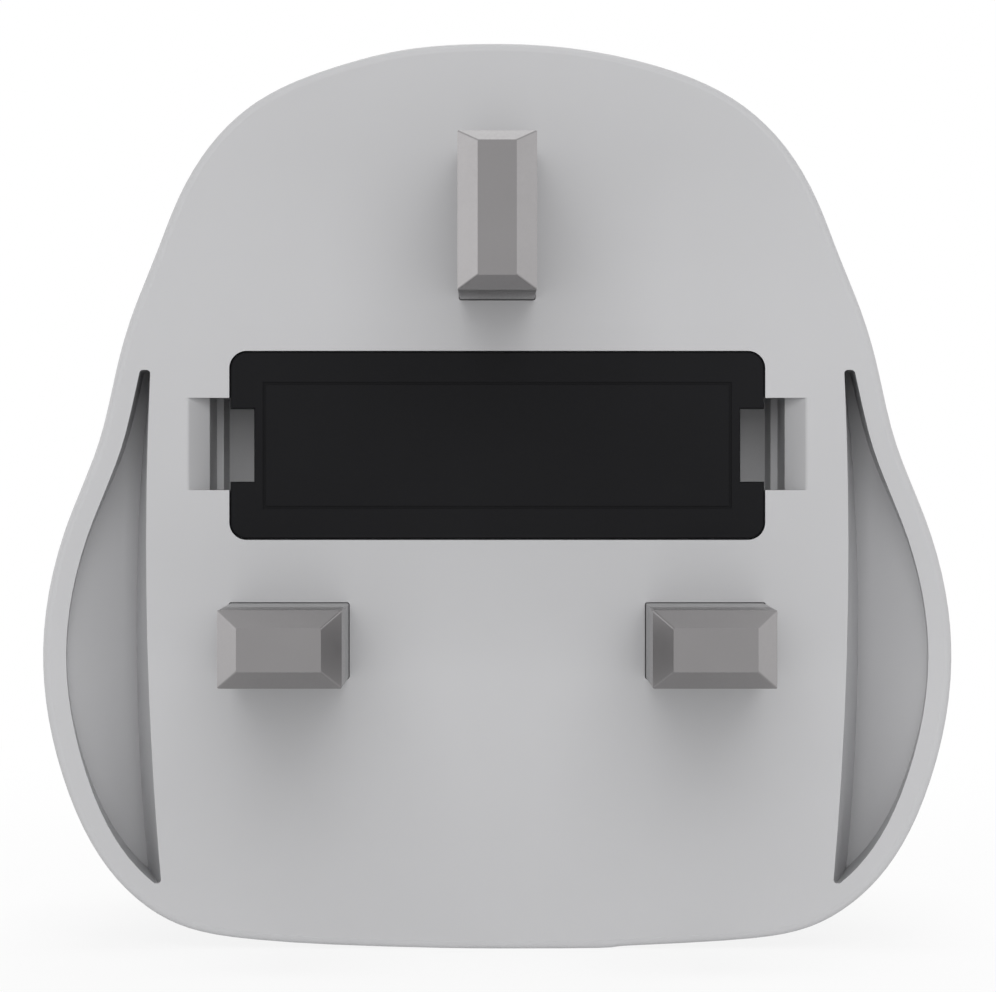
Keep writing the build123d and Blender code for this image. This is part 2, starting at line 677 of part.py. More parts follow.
def fuse_clip():
    """Spring clip of the right fuse end, open towards the pin face."""
    grip = FUSE_D / 2 + FUSE_GAP + STRAP_T / 2
    throat_y = FUSE_Y - CLIP_REACH
    upper = [
        (throat_y - CLIP_LIP_L, grip + CLIP_LIP),
        (throat_y, grip),
        (STRAP_Y + STRAP_T / 2, grip + CLIP_SPREAD),
    ]
    points = [(y, CARRIER_Z + z) for y, z in upper]
    points += [(y, CARRIER_Z - z) for y, z in reversed(upper)]
    return bent_strip(points, BEND_R, CLIP_IN, CLIP_IN + CLIP_W)


def line_fuse_clip():
    """Left clip with a strap down to the line pin."""
    strap = link((-CLIP_IN - CLIP_W / 2, CARRIER_Z), (-LIVE_X, LIVE_Z), STRAP_R + HEAD_GAP)
    clip = mirror(fuse_clip(), about=Plane.YZ) + slab(strap, STRAP_Y, BLOCK_Y)
    return clip - slab(disc(-LIVE_X, LIVE_Z, TAIL_R + HOLE_GAP), STRAP_Y, BLOCK_Y)


def load_fuse_clip():
    """Right clip with a tab up to the rivet."""
    strap = link((RIVET_X, CARRIER_Z), (RIVET_X, RIVET_Z), STRAP_R)
    clip = fuse_clip() + slab(strap, STRAP_Y, BLOCK_Y)
    return clip - slab(disc(RIVET_X, RIVET_Z, RIVET_R + HOLE_GAP), STRAP_Y, BLOCK_Y)


def contact_sleeve(x):
    """Slit spring sleeve with a flared mouth for one round pin."""
    end = SHUTTER_Y - CONTACT_CLEAR
    start = CONTACT_Y + STRAP_T
    profile = make_face(
        Polyline(
            (CONTACT_R, start),
            (CONTACT_R, end - CONTACT_FLARE_L),
            (CONTACT_R + CONTACT_FLARE, end),
            (CONTACT_R + CONTACT_FLARE + STRAP_T, end),
            (CONTACT_R + STRAP_T, end - CONTACT_FLARE_L),
            (CONTACT_R + STRAP_T, start),
            close=True,
        )
    )
    sleeve = turned(profile, x, SOCKET_Z)
    slit = box_sketch(x - CONTACT_SLIT / 2, x + CONTACT_SLIT / 2, SOCKET_Z, SOCKET_Z + SEAT_R)
    return sleeve - slab(slit, start, end)


def line_contact():
    """Left contact with the strap that crosses to the rivet."""
    corner = (-HOLE_X, RIVET_Z)
    strap = link((RIVET_X, RIVET_Z), corner, STRAP_R) + link(corner, (-HOLE_X, SOCKET_Z), STRAP_R)
    base = disc(-HOLE_X, SOCKET_Z, CONTACT_R + STRAP_T)
    contact = slab(strap + base, CONTACT_Y, CONTACT_Y + STRAP_T) + contact_sleeve(-HOLE_X)
    hole = disc(RIVET_X, RIVET_Z, RIVET_R + HOLE_GAP)
    return contact - slab(hole, CONTACT_Y, CONTACT_Y + STRAP_T)


def neutral_contact():
    """Right contact with a short strap to the neutral pin."""
    strap = link((LIVE_X, LIVE_Z), (HOLE_X, SOCKET_Z), STRAP_R + HEAD_GAP)
    base = disc(HOLE_X, SOCKET_Z, CONTACT_R + STRAP_T)
    contact = slab(strap + base, CONTACT_Y, CONTACT_Y + STRAP_T) + contact_sleeve(HOLE_X)
    hole = disc(LIVE_X, LIVE_Z, TAIL_R + HOLE_GAP)
    return contact - slab(hole, CONTACT_Y, CONTACT_Y + STRAP_T)


def clip_rivet():
    """Rivet through the load clip, the block's floor and the line contact."""
    rear, front = STRAP_Y, CONTACT_Y + STRAP_T
    rivet = slab(disc(RIVET_X, RIVET_Z, RIVET_R), rear, front)
    rivet += slab(disc(RIVET_X, RIVET_Z, RIVET_HEAD_R), rear - RIVET_HEAD_T, rear)
    return rivet + slab(disc(RIVET_X, RIVET_Z, RIVET_HEAD_R), front, front + RIVET_HEAD_T)


def earth_bracket():
    """Strip along the block's back whose two arms become the earth springs."""
    arm = ARM_R - STRAP_T / 2
    upper = [
        (RECESS_Y + ARM_END_Y, arm),
        (RECESS_Y + ARM_CREST_Y, arm - ARM_CREST),
        (RECESS_Y + ARM_BEND_Y, arm),
        (STRAP_Y + STRAP_T / 2, arm),
    ]
    points = [(y, SOCKET_Z + z) for y, z in upper]
    points += [(y, SOCKET_Z - z) for y, z in reversed(upper)]
    strip = bent_strip(points, ARM_BEND_R, -EARTH_STRIP_W / 2, EARTH_STRIP_W / 2)
    tail = disc(0, EARTH_Z - EARTH_TAIL_DROP, TAIL_R + HOLE_GAP)
    return strip - slab(tail, STRAP_Y, BLOCK_Y)


def shutter_ramp(x):
    """Slope in front of a pin hole, which the plug's pin pushes aside."""
    front = SHUTTER_Y + SHUTTER_T
    foot = SHUTTER_Y + RAMP_FOOT
    profile = make_face(
        Polyline(
            (front, SOCKET_Z - WINDOW_R),
            (foot, SOCKET_Z + WINDOW_R),
            (foot, SOCKET_Z + SHUTTER_TRAVEL),
            (front, SOCKET_Z + SHUTTER_TRAVEL),
            close=True,
        )
    )
    return side_profile(profile, x - RAMP_W / 2, x + RAMP_W / 2)


def shutter():
    """Slider with a ramp and a window for each pin."""
    low = SOCKET_Z - SHUTTER_LOW
    top = SOCKET_Z + SHUTTER_TRAVEL + SHUTTER_BRIDGE
    plate = Pos(0, (low + top) / 2) * RectangleRounded(SHUTTER_W, top - low, SHUTTER_CORNER_R)
    for side in (1, -1):
        plate -= disc(side * HOLE_X, SOCKET_Z + SHUTTER_TRAVEL, WINDOW_R)
    slider = slab(plate, SHUTTER_Y, SHUTTER_Y + SHUTTER_T)
    for side in (1, -1):
        slider -= shutter_ramp(side * HOLE_X)
    return slider


def spring_y():
    """Depth of the shutter spring's axis, in the middle of the slider."""
    return SHUTTER_Y + SHUTTER_T / 2


def shutter_spring():
    """Coil spring between its post and the slider's lower edge."""
    low = SOCKET_Z - SHUTTER_LOW - SPRING_L + SPRING_WIRE / 2 + SPRING_SEAT_GAP
    coil = SPRING_L - SPRING_WIRE - 2 * SPRING_SEAT_GAP
    path = Helix(SPRING_PITCH, coil, SPRING_R)
    wire = Plane(origin=path @ 0, z_dir=path % 0) * RegularPolygon(SPRING_WIRE / 2, SPRING_WIRE_SIDES)
    return Pos(0, spring_y(), low) * sweep(wire, path=path, is_frenet=True)


PARTS = {
    "rear_cover": rear_cover(),
    "front_shell": front_shell(),
    "socket_floor": socket_floor(),
    "contact_block": contact_block(),
    "earth_pin": earth_pin(),
    "line_pin": live_pin(-LIVE_X, STRAP_Y, BLOCK_Y),
    "neutral_pin": live_pin(LIVE_X, BLOCK_Y, CONTACT_Y + STRAP_T),
    "line_sleeve": pin_sleeve(-LIVE_X),
    "neutral_sleeve": pin_sleeve(LIVE_X),
    "fuse_carrier": fuse_carrier(),
    "fuse_tube": fuse_tube(),
    "fuse_cap_left": fuse_cap(-1),
    "fuse_cap_right": fuse_cap(1),
    "line_fuse_clip": line_fuse_clip(),
    "load_fuse_clip": load_fuse_clip(),
    "line_contact": line_contact(),
    "neutral_contact": neutral_contact(),
    "clip_rivet": clip_rivet(),
    "earth_bracket": earth_bracket(),
    "shutter": shutter(),
    "shutter_spring": shutter_spring(),
}

os.makedirs("parts", exist_ok=True)
for name, part in PARTS.items():
    export_step(part, f"parts/{name}.step")
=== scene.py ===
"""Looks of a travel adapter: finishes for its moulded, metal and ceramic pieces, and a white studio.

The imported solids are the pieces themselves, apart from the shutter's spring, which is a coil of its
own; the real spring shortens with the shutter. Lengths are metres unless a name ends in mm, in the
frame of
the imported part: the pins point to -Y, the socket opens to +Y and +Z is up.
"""

import json
import logging
from dataclasses import dataclass, field
from enum import Enum

import bpy
import numpy as np
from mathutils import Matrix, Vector

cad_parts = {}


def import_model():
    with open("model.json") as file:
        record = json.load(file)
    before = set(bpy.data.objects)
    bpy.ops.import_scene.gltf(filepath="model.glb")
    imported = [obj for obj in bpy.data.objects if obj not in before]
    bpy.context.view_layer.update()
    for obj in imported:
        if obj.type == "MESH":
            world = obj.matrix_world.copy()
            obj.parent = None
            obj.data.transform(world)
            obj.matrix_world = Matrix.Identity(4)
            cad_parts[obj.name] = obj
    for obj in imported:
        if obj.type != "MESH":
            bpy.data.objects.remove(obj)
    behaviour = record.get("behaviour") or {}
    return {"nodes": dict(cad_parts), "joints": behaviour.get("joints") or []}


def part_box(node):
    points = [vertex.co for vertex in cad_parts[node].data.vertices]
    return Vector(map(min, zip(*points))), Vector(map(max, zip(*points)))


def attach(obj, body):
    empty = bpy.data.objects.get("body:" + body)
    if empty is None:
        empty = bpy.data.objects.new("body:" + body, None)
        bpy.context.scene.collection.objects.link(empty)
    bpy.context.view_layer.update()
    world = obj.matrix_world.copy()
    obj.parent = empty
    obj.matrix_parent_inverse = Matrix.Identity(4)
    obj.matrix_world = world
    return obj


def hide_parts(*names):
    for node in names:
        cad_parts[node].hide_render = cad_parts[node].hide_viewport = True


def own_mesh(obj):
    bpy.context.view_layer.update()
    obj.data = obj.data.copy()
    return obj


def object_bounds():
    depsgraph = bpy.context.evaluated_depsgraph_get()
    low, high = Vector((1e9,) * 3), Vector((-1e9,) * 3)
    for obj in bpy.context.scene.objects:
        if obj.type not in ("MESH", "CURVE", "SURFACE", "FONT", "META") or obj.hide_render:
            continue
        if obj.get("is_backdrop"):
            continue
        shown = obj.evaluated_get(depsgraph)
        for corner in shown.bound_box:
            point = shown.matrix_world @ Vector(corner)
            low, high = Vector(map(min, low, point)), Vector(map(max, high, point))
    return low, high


LOG = logging.getLogger("travel_adapter")
MM = 0.001
TURN = 2.0 * np.pi
WHITE = (1.0, 1.0, 1.0, 1.0)
NOISE_LOW = 0.3
NOISE_HIGH = 0.7

Colour = tuple[float, float, float]
Point = tuple[float, float, float]
Socket = bpy.types.NodeSocket


class Axis(Enum):
    """Direction in which a drawn or rolled metal surface is streaked."""

    Y = (1.0, 0.04, 1.0)
    Z = (1.0, 1.0, 0.04)


class NodeSheet:
    """Small helper that places and links the nodes of one material."""

    def __init__(self, name: str) -> None:
        """Starts an empty node tree.

        Args:
            name: Name of the material.
        """
        self.material = bpy.data.materials.new(name)
        self.material.use_nodes = True
        self.tree = self.material.node_tree
        self.tree.nodes.clear()
        self.output = self.add("ShaderNodeOutputMaterial")

    def add(self, kind: str, **settings: object) -> bpy.types.Node:
        """Adds a node and sets its properties.

        Args:
            kind: Blender's name of the node type.
            settings: Property names and values.

        Returns:
            The new node.
        """
        node = self.tree.nodes.new(kind)
        for key, value in settings.items():
            setattr(node, key, value)
        return node

    def link(self, source: Socket, target: Socket) -> None:
        """Links an output to an input.

        Args:
            source: The output.
            target: The input.
        """
        self.tree.links.new(source, target)

    def place(self, scale: Point = (1.0, 1.0, 1.0)) -> Socket:
        """Object coordinates in millimetres, stretched along the axes.

        Args:
            scale: Factor along each axis; a small factor draws a pattern out.

        Returns:
            The vector output.
        """
        coordinates = self.add("ShaderNodeTexCoord")
        mapping = self.add("ShaderNodeMapping", vector_type="POINT")
        mapping.inputs["Scale"].default_value = [s / MM for s in scale]
        self.link(coordinates.outputs["Object"], mapping.inputs["Vector"])
        return mapping.outputs["Vector"]

    def noise(self, place: Socket, size_mm: float, detail: float = 2.0) -> Socket:
        """Cloudy pattern with features of about one size.

        Args:
            place: Coordinates in millimetres.
            size_mm: Size of a feature.
            detail: How many finer layers are added.

        Returns:
            The factor output, about 0.5 on average.
        """
        node = self.add("ShaderNodeTexNoise")
        node.inputs["Scale"].default_value = 1.0 / size_mm
        node.inputs["Detail"].default_value = detail
        self.link(place, node.inputs["Vector"])
        return node.outputs["Fac"]

    def spread(self, factor: Socket, low: float, high: float) -> Socket:
        """Maps the middle of a noise to a range of values.

        Args:
            factor: Output of a noise.
            low: Value where the noise is weak.
            high: Value where the noise is strong.

        Returns:
            The mapped output.
        """
        node = self.add("ShaderNodeMapRange")
        node.inputs["From Min"].default_value = NOISE_LOW
        node.inputs["From Max"].default_value = NOISE_HIGH
        node.inputs["To Min"].default_value = low
        node.inputs["To Max"].default_value = high
        self.link(factor, node.inputs["Value"])
        return node.outputs["Result"]

    def tint(self, factor: Socket, colour: Colour, change: float) -> Socket:
        """Colour that varies a little around its middle.

        Args:
            factor: Output of a noise.
            colour: Middle colour.
            change: Largest share by which the colour is lighter or darker.

        Returns:
            The colour output.
        """
        ramp = self.add("ShaderNodeValToRGB")
        dark, pale = ramp.color_ramp.elements
        dark.position = NOISE_LOW
        pale.position = NOISE_HIGH
        dark.color = [c * (1 - change) for c in colour] + [1.0]
        pale.color = [c * (1 + change) for c in colour] + [1.0]
        self.link(factor, ramp.inputs["Fac"])
        return ramp.outputs["Color"]

    def bump(self, height: Socket, depth_mm: float) -> Socket:
        """Normal disturbed by a height pattern.

        Args:
            height: Pattern from 0 to 1.
            depth_mm: Height of the pattern.

        Returns:
            The normal output.
        """
        node = self.add("ShaderNodeBump")
        node.inputs["Distance"].default_value = depth_mm * MM
        self.link(height, node.inputs["Height"])
        return node.outputs["Normal"]

    def principled(self) -> bpy.types.Node:
        """Adds the surface shader and links it to the output.

        Returns:
            The shader.
        """
        shader = self.add("ShaderNodeBsdfPrincipled")
        self.link(shader.outputs["BSDF"], self.output.inputs["Surface"])
        return shader


@dataclass(frozen=True)
class MouldedPlastic:
    """Injection-moulded plastic with a fine spark-eroded texture.

    Attributes:
        name: Name of the finish.
        colour: Middle colour.
        roughness: Middle roughness.
        specular: Strength of the clear reflection.
        cloud: Share by which the colour drifts over the moulding.
        grain_mm: Size of the texture's grains.
        grain_depth_mm: Height of the grains.
        drift_mm: Size of the colour's drift.
        detail: How many finer layers the drift and the grain have.
        gloss_change: How far the roughness varies with the grain.
    """

    name: str
    colour: Colour
    roughness: float
    specular: float
    cloud: float
    grain_mm: float
    grain_depth_mm: float
    drift_mm: float = 9.0
    detail: float = 3.0
    gloss_change: float = 0.05

    def material(self) -> bpy.types.Material:
        """Builds the material: slow colour drift, uneven gloss and a fine raised grain.

        Returns:
            The material.
        """
        sheet = NodeSheet(self.name)
        shader = sheet.principled()
        place = sheet.place()
        drift = sheet.noise(place, self.drift_mm, self.detail)
        grain = sheet.noise(place, self.grain_mm, self.detail)
        sheet.link(sheet.tint(drift, self.colour, self.cloud), shader.inputs["Base Color"])
        smooth, rough = self.roughness - self.gloss_change, self.roughness + self.gloss_change
        gloss = sheet.spread(grain, smooth, rough)
        sheet.link(gloss, shader.inputs["Roughness"])
        sheet.link(sheet.bump(grain, self.grain_depth_mm), shader.inputs["Normal"])
        shader.inputs["Specular IOR Level"].default_value = self.specular
        return sheet.material


@dataclass(frozen=True)
class DrawnMetal:
    """Plated or rolled metal with fine streaks along one direction.

    Attributes:
        name: Name of the finish.
        colour: Middle colour of the reflection.
        roughness: Middle roughness.
        streak: Direction of the streaks.
        streak_mm: Width of a streak.
        streak_depth_mm: Depth of a streak.
        cloud: Share by which the plating's colour drifts.
        drift_mm: Size of the colour's drift.
        streak_detail: How many finer layers the streaks have.
        gloss_change: How far the roughness varies with the streaks.
    """

    name: str
    colour: Colour
    roughness: float
    streak: Axis
    streak_mm: float
    streak_depth_mm: float
    cloud: float
    drift_mm: float = 3.0
    streak_detail: float = 4.0
    gloss_change: float = 0.03

    def material(self) -> bpy.types.Material:
        """Builds the material: drawn-out streaks in gloss and height over a slow colour drift.

        Returns:
            The material.
        """
        sheet = NodeSheet(self.name)
        shader = sheet.principled()
        streaks = sheet.noise(sheet.place(self.streak.value), self.streak_mm, self.streak_detail)
        drift = sheet.noise(sheet.place(), self.drift_mm)
        sheet.link(sheet.tint(drift, self.colour, self.cloud), shader.inputs["Base Color"])
        smooth, rough = self.roughness - self.gloss_change, self.roughness + self.gloss_change
        gloss = sheet.spread(streaks, smooth, rough)
        sheet.link(gloss, shader.inputs["Roughness"])
        sheet.link(sheet.bump(streaks, self.streak_depth_mm), shader.inputs["Normal"])
        shader.inputs["Metallic"].default_value = 1.0
        return sheet.material


@dataclass(frozen=True)
class FiredCeramic:
    """Dull white ceramic with small pits.

    Attributes:
        name: Name of the finish.
        colour: Middle colour.
        roughness: Greatest roughness.
        cloud: Share by which the colour drifts.
        drift_mm: Size of the colour's drift.
        pit_mm: Size of a pit.
        pit_depth_mm: Depth of a pit.
        gloss_change: How far the roughness drops.
    """

    name: str
    colour: Colour
    roughness: float
    cloud: float = 0.06
    drift_mm: float = 2.0
    pit_mm: float = 0.25
    pit_depth_mm: float = 0.01
    gloss_change: float = 0.1

    def material(self) -> bpy.types.Material:
        """Builds the material: chalky colour drift over shallow pits.

        Returns:
            The material.
        """
        sheet = NodeSheet(self.name)
        shader = sheet.principled()
        place = sheet.place()
        drift = sheet.noise(place, self.drift_mm)
        pits = sheet.noise(place, self.pit_mm)
        sheet.link(sheet.tint(drift, self.colour, self.cloud), shader.inputs["Base Color"])
        gloss = sheet.spread(pits, self.roughness - self.gloss_change, self.roughness)
        sheet.link(gloss, shader.inputs["Roughness"])
        sheet.link(sheet.bump(pits, self.pit_depth_mm), shader.inputs["Normal"])
        return sheet.material


Finish = MouldedPlastic | DrawnMetal | FiredCeramic

HOUSING_GREY = MouldedPlastic(
    name="housing_grey",
    colour=(0.5, 0.5, 0.51),
    roughness=0.42,
    specular=0.5,
    cloud=0.012,
    grain_mm=0.11,
    grain_depth_mm=0.0012,
)
CARRIER_BLACK = MouldedPlastic(
    name="carrier_black",
    colour=(0.0075, 0.0075, 0.0085),
    roughness=0.5,
    specular=0.12,
    cloud=0.1,
    grain_mm=0.1,
    grain_depth_mm=0.0015,
)
SLEEVE_GREY = MouldedPlastic(
    name="sleeve_grey",
    colour=(0.31, 0.31, 0.315),
    roughness=0.45,
    specular=0.4,
    cloud=0.02,
    grain_mm=0.08,
    grain_depth_mm=0.001,
)
BLOCK_WHITE = MouldedPlastic(
    name="block_white",
    colour=(0.6, 0.59, 0.56),
    roughness=0.45,
    specular=0.4,
    cloud=0.02,
    grain_mm=0.12,
    grain_depth_mm=0.002,
)
PIN_NICKEL = DrawnMetal(
    name="pin_nickel",
    colour=(0.27, 0.262, 0.265),
    roughness=0.34,
    streak=Axis.Y,
    streak_mm=0.12,
    streak_depth_mm=0.00002,
    cloud=0.015,
)
SHEET_STEEL = DrawnMetal(
    name="sheet_steel",
    colour=(0.6, 0.6, 0.6),
    roughness=0.3,
    streak=Axis.Y,
    streak_mm=0.1,
    streak_depth_mm=0.0002,
    cloud=0.03,
)
SHEET_BRASS = DrawnMetal(
    name="sheet_brass",
    colour=(0.66, 0.47, 0.18),
    roughness=0.3,
    streak=Axis.Z,
    streak_mm=0.1,
    streak_depth_mm=0.0002,
    cloud=0.05,
)
FUSE_CERAMIC = FiredCeramic(name="fuse_ceramic", colour=(0.7, 0.68, 0.62), roughness=0.6)


@dataclass
class SubAssembly:
    """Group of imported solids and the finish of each.

    Attributes:
        name: Words for the log.
        finishes: Node names and their finishes.
    """

    name: str
    finishes: dict[str, Finish]

    def dress(self, nodes: dict[str, bpy.types.Object], made: dict[str, bpy.types.Material]) -> None:
        """Gives each solid its material.

        Args:
            nodes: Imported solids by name.
            made: Materials made so far, by name.
        """
        for node, finish in self.finishes.items():
            if finish.name not in made:
                made[finish.name] = finish.material()
            slots = nodes[node].data.materials
            slots.clear()
            slots.append(made[finish.name])
            LOG.info("%s: %s in %s", self.name, node, finish.name)


@dataclass
class Housing(SubAssembly):
    """The two moulded halves, the socket's floor and what lies behind it."""

    name: str = "housing"
    finishes: dict[str, Finish] = field(
        default_factory=lambda: {
            "rear_cover": HOUSING_GREY,
            "front_shell": HOUSING_GREY,
            "socket_floor": HOUSING_GREY,
            "contact_block": BLOCK_WHITE,
            "shutter": BLOCK_WHITE,
        }
    )


@dataclass
class PlugPins(SubAssembly):
    """Three pins and the two insulating sleeves."""

    name: str = "plug pins"
    finishes: dict[str, Finish] = field(
        default_factory=lambda: {
            "earth_pin": PIN_NICKEL,
            "line_pin": PIN_NICKEL,
            "neutral_pin": PIN_NICKEL,
            "line_sleeve": SLEEVE_GREY,
            "neutral_sleeve": SLEEVE_GREY,
        }
    )


@dataclass
class FuseDrawer(SubAssembly):
    """Pull-out carrier with its cartridge fuse."""

    name: str = "fuse drawer"
    finishes: dict[str, Finish] = field(
        default_factory=lambda: {
            "fuse_carrier": CARRIER_BLACK,
            "fuse_tube": FUSE_CERAMIC,
            "fuse_cap_left": SHEET_STEEL,
            "fuse_cap_right": SHEET_STEEL,
        }
    )


@dataclass
class Contacts(SubAssembly):
    """Metal strips that carry the current inside."""

    name: str = "contacts"
    finishes: dict[str, Finish] = field(
        default_factory=lambda: {
            "line_fuse_clip": SHEET_BRASS,
            "load_fuse_clip": SHEET_BRASS,
            "line_contact": SHEET_BRASS,
            "neutral_contact": SHEET_BRASS,
            "clip_rivet": SHEET_BRASS,
            "earth_bracket": SHEET_STEEL,
        }
    )


@dataclass
class ShutterSpring:
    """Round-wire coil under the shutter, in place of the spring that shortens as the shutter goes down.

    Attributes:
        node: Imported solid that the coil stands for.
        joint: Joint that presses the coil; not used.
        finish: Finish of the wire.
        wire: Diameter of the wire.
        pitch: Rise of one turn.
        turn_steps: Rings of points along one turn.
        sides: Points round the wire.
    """

    node: str = "shutter_spring"
    joint: str = "shutter_slide"
    finish: Finish = SHEET_STEEL
    wire: float = 0.4 * MM
    pitch: float = 2.0 * MM
    turn_steps: int = 48
    sides: int = 14

    def surface(self, low: Vector, high: Vector) -> np.ndarray:
        """Tube along a helix, as a grid of rings.

        The ring's centre turns about the coil's upright axis at the mean radius and rises by one pitch
        each turn. A point of the ring lies half the wire's width from that centre, by the cosine of its
        angle outwards from the axis and by its sine square to that and to the wire.

        Args:
            low: Lowest corner of the coil's box.
            high: Highest corner of the coil's box.

        Returns:
            The points, by ring, place in the ring and coordinate.
        """
        middle = (low + high) / 2
        radius = (high.x - low.x - self.wire) / 2
        turns = (high.z - low.z - self.wire) / self.pitch
        steps = round(turns * self.turn_steps) + 1
        turn, around = np.meshgrid(
            np.linspace(0.0, TURN * turns, steps),
            np.linspace(0.0, TURN, self.sides, endpoint=False),
            indexing="ij",
        )
        lead = np.arctan2(self.pitch, TURN * radius)
        out = radius + self.wire / 2 * np.cos(around)
        side = self.wire / 2 * np.sin(around)
        x = middle.x + out * np.cos(turn) - side * np.sin(lead) * np.sin(turn)
        y = middle.y + out * np.sin(turn) + side * np.sin(lead) * np.cos(turn)
        z = low.z + self.wire / 2 + self.pitch * turn / TURN - side * np.cos(lead)
        return np.stack([x, y, z], axis=-1)

    def build(self) -> bpy.types.Object:
        """Makes the coil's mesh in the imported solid's place, with a flat end at each end.

        Returns:
            The coil.
        """
        points = self.surface(*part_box(self.node))
        ring = np.arange(points[..., 0].size).reshape(points.shape[:2])
        beside = np.roll(ring, -1, axis=1)
        quads = np.stack([ring[:-1], beside[:-1], beside[1:], ring[1:]], axis=-1).reshape(-1, 4)
        faces = quads.tolist() + [ring[0, ::-1].tolist(), ring[-1].tolist()]
        mesh = bpy.data.meshes.new("shutter_coil")
        mesh.from_pydata(points.reshape(-1, 3).tolist(), [], faces)
        mesh.polygons.foreach_set("use_smooth", [True] * len(quads) + [False, False])
        coil = bpy.data.objects.new("shutter_coil", mesh)
        bpy.context.scene.collection.objects.link(coil)
        return coil

    def dress(self, joints: list[dict], made: dict[str, bpy.types.Material]) -> None:
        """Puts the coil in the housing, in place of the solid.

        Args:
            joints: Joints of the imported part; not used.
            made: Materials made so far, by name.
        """
        coil = self.build()
        coil.data.materials.append(made[self.finish.name])
        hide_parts(self.node)
        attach(coil, "housing")
        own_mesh(coil)


@dataclass(frozen=True)
class SoftBox:
    """Square area lamp aimed at the object.

    Attributes:
        name: Name of the lamp.
        place: Where it stands.
        size: Length of its sides.
        power: Power in watts.
        mirrored: Whether glossy surfaces show it.
    """

    name: str
    place: Point
    size: float
    power: float
    mirrored: bool

    def build(self, target: Vector) -> bpy.types.Object:
        """Places the lamp.

        Args:
            target: Point that it faces.

        Returns:
            The lamp's object.
        """
        lamp = bpy.data.lights.new(self.name, "AREA")
        lamp.shape = "SQUARE"
        lamp.size = self.size
        lamp.energy = self.power
        thing = bpy.data.objects.new(self.name, lamp)
        thing.location = self.place
        thing.rotation_euler = (target - Vector(self.place)).to_track_quat("-Z", "Y").to_euler()
        thing.visible_glossy = self.mirrored
        bpy.context.scene.collection.objects.link(thing)
        return thing


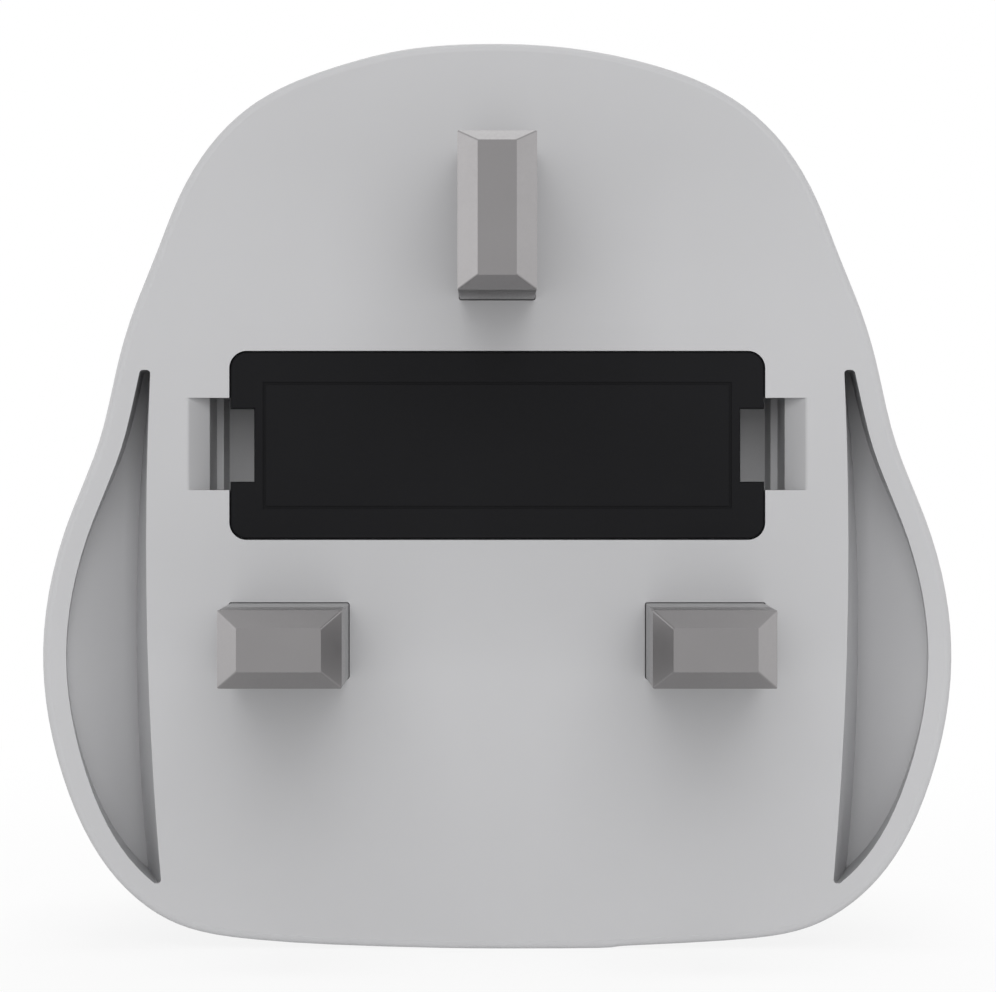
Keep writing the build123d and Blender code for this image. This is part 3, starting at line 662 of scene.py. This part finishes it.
@dataclass
class Studio:
    """White surroundings, soft lamps and the camera square to the pin face.

    Attributes:
        camera_distance: Camera to pin face.
        camera_height: Camera above the origin.
        aim: Point of the pin face in the middle of the picture.
        field: Width of the picture at the pin face.
        sensor: Width of the camera's sensor in millimetres.
        clip_near: Nearest distance that the camera shows.
        clip_far: Farthest distance that the camera shows.
        floor_half: Half the floor's side.
        floor_colour: Brightness of the floor.
        floor_glow: Share of plain white in the floor near the object, as the camera sees it.
        floor_sheen: The same share, as glossy surfaces see it.
        floor_fill: The same share, as matt surfaces see it.
        fade_from: Distance from the origin at which the floor starts to fade to plain white.
        fade_to: Distance at which it is plain white.
        ambient: Strength of the white surroundings as a light.
        lamps: The soft boxes.
    """

    camera_distance: float = 0.36
    camera_height: float = -0.0012
    aim: Point = (0.00004, 0.0, -0.00338)
    field: float = 0.05312
    sensor: float = 36.0
    clip_near: float = 0.01
    clip_far: float = 20.0
    floor_half: float = 4.0
    floor_colour: float = 0.9
    floor_glow: float = 0.85
    floor_sheen: float = 0.2
    floor_fill: float = 0.45
    fade_from: float = 0.05
    fade_to: float = 0.25
    ambient: float = 0.31
    lamps: tuple[SoftBox, ...] = (
        SoftBox("front", place=(0.0, -1.15, 0.38), size=0.8, power=8.5, mirrored=False),
        SoftBox("overhead", place=(0.0, 0.02, 1.0), size=0.5, power=2.9, mirrored=False),
        SoftBox("rear", place=(0.2, 1.1, 0.8), size=0.9, power=6.5, mirrored=False),
        SoftBox("left", place=(-0.46, 0.2, 0.03), size=0.4, power=0.46, mirrored=True),
        SoftBox("right", place=(0.46, 0.2, 0.03), size=0.4, power=0.26, mirrored=True),
        SoftBox("top", place=(-0.06, 0.45, 0.4), size=0.36, power=0.25, mirrored=True),
    )

    def build_camera(self) -> None:
        """Makes the camera and hands it to the scene."""
        data = bpy.data.cameras.new("camera")
        data.sensor_width = self.sensor
        data.lens = self.sensor * self.camera_distance / self.field
        data.clip_start = self.clip_near
        data.clip_end = self.clip_far
        camera = bpy.data.objects.new("camera", data)
        camera.location = (0.0, -self.camera_distance, self.camera_height)
        camera.rotation_euler = (Vector(self.aim) - camera.location).to_track_quat("-Z", "Y").to_euler()
        bpy.context.scene.collection.objects.link(camera)
        bpy.context.scene.camera = camera

    def build_floor(self, height: float) -> None:
        """Makes the pale floor that the object stands on.

        Args:
            height: Height of the floor.
        """
        side = np.array([-self.floor_half, self.floor_half])
        x, y = np.meshgrid(side, side)
        corners = np.column_stack([x.ravel(), y.ravel(), np.full(4, height)])
        mesh = bpy.data.meshes.new("floor")
        mesh.from_pydata(corners.tolist(), [], [(0, 1, 3, 2)])
        floor = bpy.data.objects.new("floor", mesh)
        bpy.context.scene.collection.objects.link(floor)
        mesh.materials.append(self.floor_material())
        floor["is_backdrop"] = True

    def floor_material(self) -> bpy.types.Material:
        """Pale matt floor that fades to plain white away from the object, and keeps the shadow near it.

        Returns:
            The material.
        """
        sheet = NodeSheet("floor")
        matt = sheet.add("ShaderNodeBsdfDiffuse")
        matt.inputs["Color"].default_value = (self.floor_colour,) * 3 + (1.0,)
        glow = sheet.add("ShaderNodeEmission")
        blend = sheet.add("ShaderNodeMixShader")
        place = sheet.add("ShaderNodeTexCoord")
        distance = sheet.add("ShaderNodeVectorMath", operation="LENGTH")
        sheet.link(place.outputs["Object"], distance.inputs[0])
        away = distance.outputs["Value"]
        rays = sheet.add("ShaderNodeLightPath")
        shares = {
            "Is Camera Ray": self.floor_glow,
            "Is Glossy Ray": self.floor_sheen,
            "Is Transmission Ray": self.floor_sheen,
            "Is Diffuse Ray": self.floor_fill,
        }
        white = [
            self.fading_share(sheet, away, rays.outputs[kind], near)
            for kind, near in shares.items()
        ]
        sheet.link(largest(sheet.tree, white), blend.inputs["Fac"])
        sheet.link(matt.outputs["BSDF"], blend.inputs[1])
        sheet.link(glow.outputs["Emission"], blend.inputs[2])
        sheet.link(blend.outputs["Shader"], sheet.output.inputs["Surface"])
        return sheet.material

    def fading_share(self, sheet: NodeSheet, distance: Socket, rays: Socket, near: float) -> Socket:
        """Share of plain white for one kind of ray, which rises to one with the distance.

        Args:
            sheet: Material that takes the nodes.
            distance: Distance from the origin.
            rays: One for the kind of ray, and zero for others.
            near: Share near the object.

        Returns:
            The share.
        """
        rise = sheet.add("ShaderNodeMapRange", interpolation_type="SMOOTHSTEP")
        rise.inputs["From Min"].default_value = self.fade_from
        rise.inputs["From Max"].default_value = self.fade_to
        rise.inputs["To Min"].default_value = near
        sheet.link(distance, rise.inputs["Value"])
        share = sheet.add("ShaderNodeMath", operation="MULTIPLY")
        sheet.link(rise.outputs["Result"], share.inputs[0])
        sheet.link(rays, share.inputs[1])
        return share.outputs["Value"]

    def build_world(self) -> None:
        """Makes surroundings that are plain white to seen rays and a softer light to the rest."""
        world = bpy.data.worlds.new("studio")
        bpy.context.scene.world = world
        world.use_nodes = True
        tree = world.node_tree
        tree.nodes.clear()
        output = tree.nodes.new("ShaderNodeOutputWorld")
        light = tree.nodes.new("ShaderNodeBackground")
        light.inputs["Strength"].default_value = self.ambient
        white = tree.nodes.new("ShaderNodeBackground")
        for node in (light, white):
            node.inputs["Color"].default_value = WHITE
        blend = tree.nodes.new("ShaderNodeMixShader")
        rays = tree.nodes.new("ShaderNodeLightPath")
        seen = [rays.outputs[f"Is {kind} Ray"] for kind in ("Camera", "Glossy", "Transmission")]
        tree.links.new(largest(tree, seen), blend.inputs["Fac"])
        tree.links.new(light.outputs["Background"], blend.inputs[1])
        tree.links.new(white.outputs["Background"], blend.inputs[2])
        tree.links.new(blend.outputs["Shader"], output.inputs["Surface"])

    def build(self, box: tuple[Vector, Vector]) -> None:
        """Makes the whole studio.

        Args:
            box: Lowest and highest corner of the object.
        """
        middle = (box[0] + box[1]) / 2
        for lamp in self.lamps:
            lamp.build(middle)
        self.build_floor(box[0].z)
        self.build_world()
        self.build_camera()
        bpy.context.scene.view_settings.view_transform = "Standard"
        LOG.info("studio: %d lamps", len(self.lamps))


def largest(tree: bpy.types.NodeTree, outputs: list[Socket]) -> Socket:
    """Greatest of several values.

    Args:
        tree: Node tree of a material or the world.
        outputs: The values.

    Returns:
        The output of the last node.
    """
    best = outputs[0]
    for other in outputs[1:]:
        node = tree.nodes.new("ShaderNodeMath")
        node.operation = "MAXIMUM"
        tree.links.new(best, node.inputs[0])
        tree.links.new(other, node.inputs[1])
        best = node.outputs["Value"]
    return best


def main() -> None:
    """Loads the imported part, dresses it and builds the studio."""
    logging.basicConfig(level=logging.INFO, format="%(name)s %(message)s")
    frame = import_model()
    cad_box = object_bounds()
    made: dict[str, bpy.types.Material] = {}
    for group in (Housing(), PlugPins(), FuseDrawer(), Contacts()):
        group.dress(frame["nodes"], made)
    ShutterSpring().dress(frame["joints"], made)
    Studio().build(cad_box)


if __name__ == "__main__":
    main()
